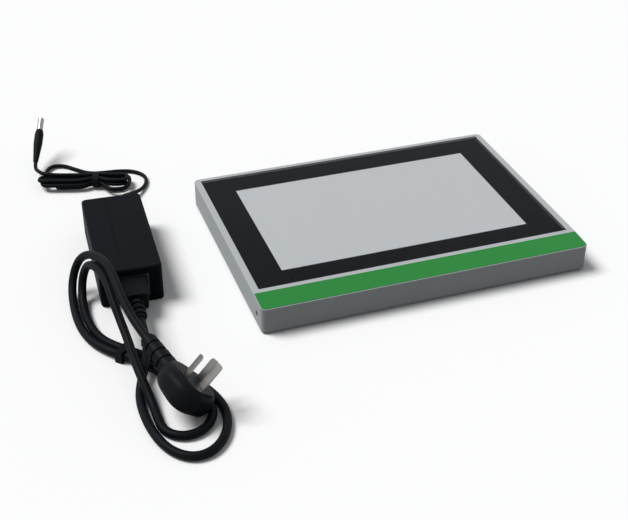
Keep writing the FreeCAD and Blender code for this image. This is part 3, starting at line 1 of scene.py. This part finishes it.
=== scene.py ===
import json
import math
import bpy
from mathutils import Matrix, Vector


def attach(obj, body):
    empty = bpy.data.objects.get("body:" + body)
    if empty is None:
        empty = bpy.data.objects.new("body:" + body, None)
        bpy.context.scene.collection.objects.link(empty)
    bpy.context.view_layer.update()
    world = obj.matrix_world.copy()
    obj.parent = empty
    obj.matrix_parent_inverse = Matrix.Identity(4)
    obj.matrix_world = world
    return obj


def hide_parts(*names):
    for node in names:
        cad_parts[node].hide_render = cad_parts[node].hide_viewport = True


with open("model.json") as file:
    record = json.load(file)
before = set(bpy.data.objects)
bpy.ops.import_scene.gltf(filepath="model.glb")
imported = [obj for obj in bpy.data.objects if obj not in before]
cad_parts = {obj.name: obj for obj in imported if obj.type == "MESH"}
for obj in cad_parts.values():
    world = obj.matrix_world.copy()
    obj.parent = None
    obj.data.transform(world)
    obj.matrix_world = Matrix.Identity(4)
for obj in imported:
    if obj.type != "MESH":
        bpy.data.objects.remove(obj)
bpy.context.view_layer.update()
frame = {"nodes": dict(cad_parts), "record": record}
ROOT = "light_box"
MM = 0.001

# Fitted to the outline of the light box in the photograph: metres and degrees, with the lens and
# the sensor in millimetres
CAMERA = {"place": (-0.3428, -0.7938, 0.5509), "yaw": -19.4716, "pitch": 33.7844, "roll": 0.4196,
          "lens": 67.80, "sensor": 36.0, "clip_start": 0.01}

# The floor and the sky look pale to these rays, and throw less light than that on the object
PALE_TO = ("Is Camera Ray", "Is Transmission Ray", "Is Glossy Ray")
FLOOR = {"half": 6.0, "seen": (0.97, 0.97, 0.97, 1), "bounce": (0.23, 0.23, 0.23, 1)}
SKY = {"seen": (1, 1, 1, 1), "light": (0.97, 0.985, 1, 1), "light_strength": 0.27}
SUN = {"energy": 2.75, "angle": 28, "from": (-0.46, 0.26, 0.85)}

# How far roughness changes over a surface, its least value, and how deep the grain is in metres
GLOSS_CHANGE = 0.08
LEAST_ROUGH = 0.02
GRAIN_DEPTH = 0.0004

# Least and most roughness of a clear sheet, and what a shadow or diffuse ray keeps at each face
GLASS_ROUGH = (0.02, 0.07)
GLASS_SHADE = (0.965, 0.965, 0.965, 1)

# Degrees: edges that turn by more than this stay sharp
SHARP_ANGLE = 28

# Looks of the material slots; colours are 0 to 255 display values
SURFACES = {
    "case_grey": {"colour": (176, 180, 182), "rough": 0.45, "vary": 0.03, "bump": 0.04, "specular": 0.04},
    "cover_grey": {"colour": (120, 123, 125), "rough": 0.5, "grain": 1400, "bump": 0.08},
    "black_rubber": {"colour": (26, 26, 27), "rough": 0.75, "bump": 0.15},
    "steel": {"colour": (176, 176, 174), "rough": 0.32, "metal": 1.0, "grain": 500},
    "black_print": {"colour": (9, 13, 18), "rough": 0.3, "vary": 0.1, "bump": 0.01},
    "black_tape": {"colour": (22, 22, 23), "rough": 0.8, "grain": 2200, "bump": 0.3},
    "green_strip": {"colour": (40, 129, 57), "rough": 0.34, "vary": 0.03, "bump": 0.02, "specular": 0.1},
    "opal": {"colour": (183, 187, 190), "rough": 0.45, "vary": 0.012, "patch": 5, "bump": 0.02},
    "film": {"colour": (214, 217, 222), "rough": 0.25, "grain": 3000, "stretch": (0.02, 1, 1), "bump": 0.3},
    "white_film": {"colour": (232, 233, 233), "rough": 0.6, "vary": 0.02},
    "tray_metal": {"colour": (186, 188, 190), "rough": 0.34, "metal": 1.0, "stretch": (0.05, 1, 1)},
    "board_white": {"colour": (226, 228, 226), "rough": 0.4, "vary": 0.03},
    "led_yellow": {"colour": (226, 196, 92), "rough": 0.35, "vary": 0.06},
    "board_green": {"colour": (26, 92, 52), "rough": 0.3, "vary": 0.12, "patch": 160, "grain": 2500},
    "can_metal": {"colour": (158, 163, 170), "rough": 0.3, "metal": 1.0, "vary": 0.05},
    "dark_part": {"colour": (30, 30, 32), "rough": 0.5, "grain": 1800, "bump": 0.12},
    "header_white": {"colour": (222, 221, 212), "rough": 0.5, "vary": 0.03},
    "tinned": {"colour": (196, 196, 190), "rough": 0.28, "metal": 1.0},
    "wire_red": {"colour": (150, 24, 22), "rough": 0.4, "vary": 0.05},
    "wire_black": {"colour": (24, 24, 25), "rough": 0.42, "vary": 0.08},
    "adapter_black": {"colour": (14, 17, 21), "rough": 0.55, "vary": 0.06, "grain": 1500, "bump": 0.22,
                      "specular": 0.03},
    "ferrite": {"colour": (52, 52, 55), "rough": 0.7, "grain": 1200, "bump": 0.25},
    "winding_tape": {"colour": (206, 164, 44), "rough": 0.35, "vary": 0.08, "patch": 120},
    "aluminium_plate": {"colour": (178, 180, 184), "rough": 0.3, "metal": 1.0, "stretch": (1, 1, 0.05)},
    "cord_black": {"colour": (12, 15, 19), "rough": 0.5, "vary": 0.12, "grain": 700, "bump": 0.08,
                   "specular": 0.06},
    "nickel": {"colour": (140, 139, 137), "rough": 0.3, "metal": 1.0, "vary": 0.04, "patch": 60},
    "plug_insert": {"colour": (20, 23, 27), "rough": 0.5, "vary": 0.08, "bump": 0.15, "specular": 0.1},
}
CLEAR_SHEETS = {
    "clear_glass": {"tint": (0.99, 0.99, 0.99, 1), "ior": 1.12},
    "clear_acrylic": {"tint": (0.97, 0.99, 0.98, 1), "ior": 1.49},
}

# Millimetres: half sizes, middle and levels of the white face between the diffuser and the print
PANEL_FACE = {"half_x": 114.3, "half_y": 71.3, "middle_y": 10.9, "low": 18.85, "high": 21.3}

# Millimetres: the middle line of each cord
MAINS_DIAMETER = 6.6
MAINS_ROUTE = [
    (-226.4, -67.0, 16.5), (-227.4, -83.0, 16.5), (-227.4, -97.0, 13.2), (-230.4, -110.0, 11.6),
    (-234.6, -122.5, 10.4), (-239.8, -133.5, 7.2), (-243.9, -144.5, 3.9), (-245.6, -157.0, 3.4),
    (-245.6, -170.5, 3.4), (-244.2, -184.5, 3.4), (-240.8, -199.0, 3.4), (-234.6, -211.0, 3.4),
    (-225.3, -218.8, 3.4), (-214.2, -219.6, 3.4), (-204.0, -213.4, 3.4), (-196.4, -203.2, 3.4),
    (-191.6, -190.0, 3.4), (-190.6, -175.0, 3.4), (-195.0, -157.5, 3.4), (-204.4, -139.8, 3.4),
    (-215.0, -123.8, 3.5), (-225.0, -111.0, 3.9), (-233.75, -101.21, 4.65), (-250.72, -84.24, 4.65),
    (-258.4, -70.0, 3.4), (-262.2, -55.0, 3.4), (-263.2, -39.5, 3.4), (-262.8, -26.0, 4.4),
    (-261.8, -16.0, 8.0), (-259.8, -9.5, 15.0), (-257.4, -8.0, 23.0), (-254.9, -11.5, 31.0),
    (-252.1, -20.0, 36.6), (-248.8, -31.5, 39.4), (-246.4, -43.5, 39.2), (-245.6, -56.0, 37.4),
    (-245.3, -67.5, 34.2), (-244.4, -78.5, 29.6), (-243.2, -89.5, 24.8), (-242.2, -101.0, 20.8),
    (-241.8, -114.0, 18.0), (-241.6, -127.0, 16.2), (-240.6, -139.0, 13.4), (-239.0, -149.5, 8.6),
    (-237.7, -160.0, 4.6), (-237.6, -172.5, 3.4), (-236.9, -185.0, 3.4), (-232.4, -192.8, 3.4),
    (-224.7, -197.3, 3.4), (-215.7, -197.3, 3.4), (-207.4, -193.2, 3.4), (-201.2, -185.0, 3.4),
    (-198.4, -174.6, 3.4), (-201.0, -162.0, 3.4), (-209.6, -146.6, 3.4), (-220.2, -130.6, 3.4),
    (-230.0, -117.2, 3.8), (-238.69, -106.15, 4.65), (-255.66, -89.18, 4.65), (-264.4, -74.5, 3.4),
    (-269.2, -57.5, 3.4), (-270.6, -40.0, 3.4), (-270.0, -23.0, 3.9), (-268.6, -9.5, 6.8),
    (-266.0, -0.5, 13.2), (-262.2, 3.4, 21.6), (-257.9, 1.2, 30.6), (-253.0, -6.0, 37.8),
    (-247.8, -17.0, 42.4), (-243.6, -30.0, 44.8), (-241.2, -44.0, 44.8), (-240.2, -59.0, 42.8),
    (-239.4, -75.0, 39.4), (-237.0, -91.5, 35.2), (-232.9, -108.6, 31.4), (-228.6, -123.8, 28.7),
]
LEAD_DIAMETER = 3.5
LEAD_START = [
    (-204.9, 92.7, 16.5), (-204.1, 106.5, 16.5), (-199.6, 118.5, 11.6), (-191.0, 128.5, 6.2),
    (-180.5, 138.5, 2.9), (-173.2, 150.5, 1.9), (-171.8, 164.0, 1.9), (-179.5, 175.5, 1.9),
    (-192.5, 180.5, 1.9), (-208.0, 182.0, 1.9), (-221.0, 185.0, 1.9), (-231.0, 196.0, 1.9),
    (-240.0, 206.5, 2.1), (-250.5, 208.6, 2.6), (-258.0, 200.5, 2.6), (-259.5, 188.0, 2.2),
    (-252.5, 172.5, 2.3),
]
LEAD_END = [
    (-262.6, 181.2, 10.8), (-266.0, 188.6, 10.2), (-267.9, 199.7, 8.2), (-264.9, 208.4, 13.1),
]

# The wound part of the lead lies in its own frame, turned by "turn" degrees about "centre". Outside
# its tie it leans to one side. Each turn gives the half width and height of its strands in the body
# and under the tie, how far its two folds reach, and how much its near strand swings out at the right.
HANK = {"centre": (-227.0, 166.5), "turn": -17.0, "tie": 10.3, "tie_half": 6.0, "lean": 2.2}
TURNS = [
    {"body": (5.6, 2.6), "neck": (3.5, 3.7), "right": 37.6, "left": 37.0, "spread": 5.0},
    {"body": (4.9, 6.2), "neck": (1.75, 6.75), "right": 36.6, "left": 38.4, "spread": 2.0},
    {"body": (8.5, 6.3), "neck": (5.25, 6.75), "right": 41.0, "left": 41.0, "spread": 7.6},
    {"body": (5.5, 9.6), "neck": (3.5, 9.8), "right": 38.6, "left": 0.0, "spread": 0.0},
]

# Along a strand, in millimetres: its first two points, and its points beside and under the tie.
# The shares are of the turn's half width, and spread_share is of its spread.
STRAND = {"start": -25.0, "middle": -11.0, "beside_tie": 11.5, "under_tie": 4.5,
          "start_share": 0.97, "before_tie_share": 0.92, "after_tie_share": 0.95, "spread_share": 0.6}

# At a fold: how far back of its reach it starts, and its half width there, as shares of the half width
FOLD = {"back_share": 0.9, "end_share": 0.85}


def link(item):
    bpy.context.scene.collection.objects.link(item)
    return item


def add_mesh(name, corners, faces):
    mesh = bpy.data.meshes.new(name)
    mesh.from_pydata(corners, [], faces)
    return link(bpy.data.objects.new(name, mesh))


# Materials
def new_material(name):
    material = bpy.data.materials.new(name)
    material.use_nodes = True
    nodes = material.node_tree.nodes
    nodes.clear()
    output = nodes.new("ShaderNodeOutputMaterial")
    return material, material.node_tree, output


def node(tree, kind, **settings):
    """New node; settings that start with in_ go to the input of that name."""
    item = tree.nodes.new(kind)
    for key, value in settings.items():
        if key.startswith("in_"):
            item.inputs[key[3:].replace("_", " ")].default_value = value
        else:
            setattr(item, key, value)
    return item


def any_ray(tree, *kinds):
    """1 where the ray is of one of these kinds, as Light Path names them."""
    path = node(tree, "ShaderNodeLightPath")
    found = path.outputs[kinds[0]]
    for kind in kinds[1:]:
        either = node(tree, "ShaderNodeMath", operation="MAXIMUM")
        tree.links.new(found, either.inputs[0])
        tree.links.new(path.outputs[kind], either.inputs[1])
        found = either.outputs[0]
    return found


def show_to(tree, kinds, shader, others, output):
    """Show one shader to rays of these kinds and another to all others."""
    mix = node(tree, "ShaderNodeMixShader")
    tree.links.new(any_ray(tree, *kinds), mix.inputs[0])
    tree.links.new(others.outputs[0], mix.inputs[1])
    tree.links.new(shader.outputs[0], mix.inputs[2])
    tree.links.new(mix.outputs[0], output.inputs["Surface"])


def vary_gloss(tree, noise, low, high, shader):
    gloss = node(tree, "ShaderNodeMapRange", in_To_Min=low, in_To_Max=high)
    tree.links.new(noise.outputs["Fac"], gloss.inputs["Value"])
    tree.links.new(gloss.outputs[0], shader.inputs["Roughness"])


def linear(colour):
    """Linear colour from the 0 to 255 values of a display colour."""
    shares = [value / 255 for value in colour]
    return [share / 12.92 if share <= 0.04045 else ((share + 0.055) / 1.055) ** 2.4
            for share in shares]


def surface(name, colour, rough, vary=0.08, grain=900.0, bump=0.06, metal=0.0, patch=14.0,
            specular=0.5, stretch=(1, 1, 1)):
    """Moulded, painted or metal surface: fine grain in the bump, slow change in colour and gloss."""
    material, tree, output = new_material(name)
    shader = node(tree, "ShaderNodeBsdfPrincipled", in_Metallic=metal, in_Specular_IOR_Level=specular)
    place = node(tree, "ShaderNodeTexCoord")
    scale = node(tree, "ShaderNodeMapping", in_Scale=stretch)
    tree.links.new(place.outputs["Object"], scale.inputs["Vector"])
    slow = node(tree, "ShaderNodeTexNoise", in_Scale=patch, in_Detail=3.0, in_Roughness=0.55)
    tree.links.new(scale.outputs[0], slow.inputs["Vector"])
    fine = node(tree, "ShaderNodeTexNoise", in_Scale=grain, in_Detail=2.0, in_Roughness=0.6)
    tree.links.new(scale.outputs[0], fine.inputs["Vector"])
    base = linear(colour)
    tint = node(tree, "ShaderNodeMix", data_type="RGBA", blend_type="MIX")
    tint.inputs["A"].default_value = (*(part * (1 - vary) for part in base), 1)
    tint.inputs["B"].default_value = (*(min(1, part * (1 + vary)) for part in base), 1)
    tree.links.new(slow.outputs["Fac"], tint.inputs["Factor"])
    tree.links.new(tint.outputs["Result"], shader.inputs["Base Color"])
    vary_gloss(tree, slow, max(LEAST_ROUGH, rough - GLOSS_CHANGE), min(1, rough + GLOSS_CHANGE), shader)
    relief = node(tree, "ShaderNodeBump", in_Strength=bump, in_Distance=GRAIN_DEPTH)
    tree.links.new(fine.outputs["Fac"], relief.inputs["Height"])
    tree.links.new(relief.outputs[0], shader.inputs["Normal"])
    tree.links.new(shader.outputs[0], output.inputs["Surface"])
    return material


def glass_sheet(name, tint, ior):
    """Clear sheet that lets the lamps through to what lies under it."""
    material, tree, output = new_material(name)
    shader = node(tree, "ShaderNodeBsdfPrincipled", in_Base_Color=tint, in_IOR=ior,
                  in_Transmission_Weight=1.0)
    place = node(tree, "ShaderNodeTexCoord")
    smear = node(tree, "ShaderNodeTexNoise", in_Scale=9.0, in_Detail=4.0)
    tree.links.new(place.outputs["Object"], smear.inputs["Vector"])
    vary_gloss(tree, smear, *GLASS_ROUGH, shader)
    clear = node(tree, "ShaderNodeBsdfTransparent", in_Color=GLASS_SHADE)
    show_to(tree, ("Is Shadow Ray", "Is Diffuse Ray"), clear, shader, output)
    return material


# Camera, floor and light
def make_camera():
    data = bpy.data.cameras.new("camera")
    data.sensor_width = CAMERA["sensor"]
    data.lens = CAMERA["lens"]
    data.clip_start = CAMERA["clip_start"]
    camera = link(bpy.data.objects.new("camera", data))
    turn = (
        Matrix.Rotation(math.radians(CAMERA["yaw"]), 4, "Z")
        @ Matrix.Rotation(math.radians(90 - CAMERA["pitch"]), 4, "X")
        @ Matrix.Rotation(math.radians(CAMERA["roll"]), 4, "Z")
    )
    camera.matrix_world = Matrix.Translation(CAMERA["place"]) @ turn
    bpy.context.scene.camera = camera


def make_floor():
    half = FLOOR["half"]
    corners = [(-half, -half, 0), (half, -half, 0), (half, half, 0), (-half, half, 0)]
    floor = add_mesh("floor", corners, [(0, 1, 2, 3)])
    material, tree, output = new_material("floor_paper")
    seen = node(tree, "ShaderNodeBsdfDiffuse", in_Color=FLOOR["seen"])
    bounce = node(tree, "ShaderNodeBsdfDiffuse", in_Color=FLOOR["bounce"])
    show_to(tree, PALE_TO, seen, bounce, output)
    floor.data.materials.append(material)


def make_light():
    world = bpy.data.worlds.new("studio")
    bpy.context.scene.world = world
    world.use_nodes = True
    tree = world.node_tree
    tree.nodes.clear()
    output = tree.nodes.new("ShaderNodeOutputWorld")
    seen = node(tree, "ShaderNodeBackground", in_Color=SKY["seen"], in_Strength=1.0)
    light = node(tree, "ShaderNodeBackground", in_Color=SKY["light"], in_Strength=SKY["light_strength"])
    show_to(tree, PALE_TO, seen, light, output)

    sun = bpy.data.lights.new("key", "SUN")
    sun.energy = SUN["energy"]
    sun.angle = math.radians(SUN["angle"])
    lamp = link(bpy.data.objects.new("key", sun))
    lamp.matrix_world = Vector(SUN["from"]).to_track_quat("Z", "Y").to_matrix().to_4x4()
    bpy.context.scene.view_settings.view_transform = "Standard"


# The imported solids: materials, and smooth shading that leaves their meshes as they are
def smooth_group():
    group = bpy.data.node_groups.new("smooth_by_angle", "GeometryNodeTree")
    group.interface.new_socket("Geometry", in_out="INPUT", socket_type="NodeSocketGeometry")
    group.interface.new_socket("Geometry", in_out="OUTPUT", socket_type="NodeSocketGeometry")
    start = node(group, "NodeGroupInput")
    end = node(group, "NodeGroupOutput")
    soft = node(group, "GeometryNodeSetShadeSmooth", domain="FACE")
    hard = node(group, "GeometryNodeSetShadeSmooth", domain="EDGE", in_Shade_Smooth=False)
    angle = node(group, "GeometryNodeInputMeshEdgeAngle")
    above = node(group, "ShaderNodeMath", operation="GREATER_THAN")
    above.inputs[1].default_value = math.radians(SHARP_ANGLE)
    group.links.new(start.outputs[0], soft.inputs["Geometry"])
    group.links.new(soft.outputs[0], hard.inputs["Geometry"])
    group.links.new(angle.outputs["Unsigned Angle"], above.inputs[0])
    group.links.new(above.outputs[0], hard.inputs["Selection"])
    group.links.new(hard.outputs[0], end.inputs[0])
    return group


def dress_nodes(materials):
    group = smooth_group()
    for part in frame["record"]["subparts"]:
        item = frame["nodes"][part["node"]]
        material = materials[part["material_slot"]]
        if item.material_slots:
            for slot in item.material_slots:
                slot.material = material
        else:
            item.data.materials.append(material)
        item.modifiers.new("smooth", "NODES").node_group = group


def make_panel_face(material):
    """White face up to the print, which closes the dark step at the window's edge."""
    size = {name: value * MM for name, value in PANEL_FACE.items()}
    half_x, half_y = size["half_x"], size["half_y"]
    outline = [(-half_x, -half_y), (half_x, -half_y), (half_x, half_y), (-half_x, half_y)]
    corners = [(x, size["middle_y"] + y, z) for z in (size["low"], size["high"]) for x, y in outline]
    faces = [(3, 2, 1, 0), (4, 5, 6, 7), (0, 1, 5, 4), (1, 2, 6, 5), (2, 3, 7, 6), (3, 0, 4, 7)]
    face = add_mesh("panel_face", corners, faces)
    face.data.materials.append(material)
    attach(face, ROOT)


# Cords
def nurbs(name, points, diameter, material):
    curve = bpy.data.curves.new(name, "CURVE")
    curve.dimensions = "3D"
    spline = curve.splines.new("NURBS")
    spline.points.add(len(points) - 1)
    for target, point in zip(spline.points, points):
        target.co = (*(value * MM for value in point), 1)
    spline.order_u = 3
    spline.use_endpoint_u = True
    spline.resolution_u = 6
    curve.bevel_depth = diameter / 2 * MM
    curve.bevel_resolution = 6
    curve.use_fill_caps = True
    curve.materials.append(material)
    return link(bpy.data.objects.new(name, curve))


def strand(turn, direction, side):
    """Control points of one strand, drawn in under the tie; direction is 1 towards the right end."""
    wide, high = turn["body"]
    tight, level = turn["neck"]
    tie, beside, under = HANK["tie"], STRAND["beside_tie"], STRAND["under_tie"]
    swing = STRAND["spread_share"] * turn["spread"] if side < 0 else 0
    points = [
        (STRAND["start"], STRAND["start_share"] * wide, high),
        (STRAND["middle"], wide, high),
        (tie - beside, STRAND["before_tie_share"] * wide, high),
        (tie - under, tight, level),
        (tie + under, tight, level),
        (tie + beside, STRAND["after_tie_share"] * wide + swing, high),
    ]
    return [(along, side * across, up) for along, across, up in points[::direction]]


def fold(reach, first, second, side):
    """Control points of the turn-back at one end, from one strand's width and height to the next."""
    back = math.copysign(1, reach) * FOLD["back_share"]
    end = FOLD["end_share"]
    return [
        (reach - back * first[0], side * first[0], first[1]),
        (reach, side * end * first[0], first[1]),
        (reach, -side * end * second[0], second[1]),
        (reach - back * second[0], -side * second[0], second[1]),
    ]


def hank_turns():
    """Four flattened turns: out along the near side, back along the far side, low ones first."""
    points = []
    for number, turn in enumerate(TURNS):
        wide, high = turn["body"]
        points += strand(turn, 1, -1)
        points += fold(turn["right"], (wide + turn["spread"], high), turn["body"], -1)
        points += strand(turn, -1, 1)
        if turn["left"]:
            points += fold(-turn["left"], turn["body"], TURNS[number + 1]["body"], 1)
    angle = math.radians(HANK["turn"])
    along = Vector((math.cos(angle), math.sin(angle), 0))
    aside = Vector((-math.sin(angle), math.cos(angle), 0))
    middle = Vector((*HANK["centre"], 0))
    placed = []
    for u, v, up in points:
        if abs(u - HANK["tie"]) > HANK["tie_half"]:
            v -= HANK["lean"]
        placed.append(tuple(middle + along * u + aside * v + Vector((0, 0, up))))
    return placed


def make_cords(black):
    mains = nurbs("mains_cord_line", MAINS_ROUTE, MAINS_DIAMETER, black)
    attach(mains, ROOT)
    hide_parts("mains_cord")

    lead = nurbs("low_voltage_lead", LEAD_START + hank_turns() + LEAD_END, LEAD_DIAMETER, black)
    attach(lead, ROOT)
    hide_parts("lead_from_adapter", "lead_hank", "lead_to_plug")


materials = {name: surface(name, **look) for name, look in SURFACES.items()}
materials.update({name: glass_sheet(name, **look) for name, look in CLEAR_SHEETS.items()})
make_camera()
make_floor()
make_light()
dress_nodes(materials)
make_panel_face(materials["opal"])
make_cords(materials["cord_black"])
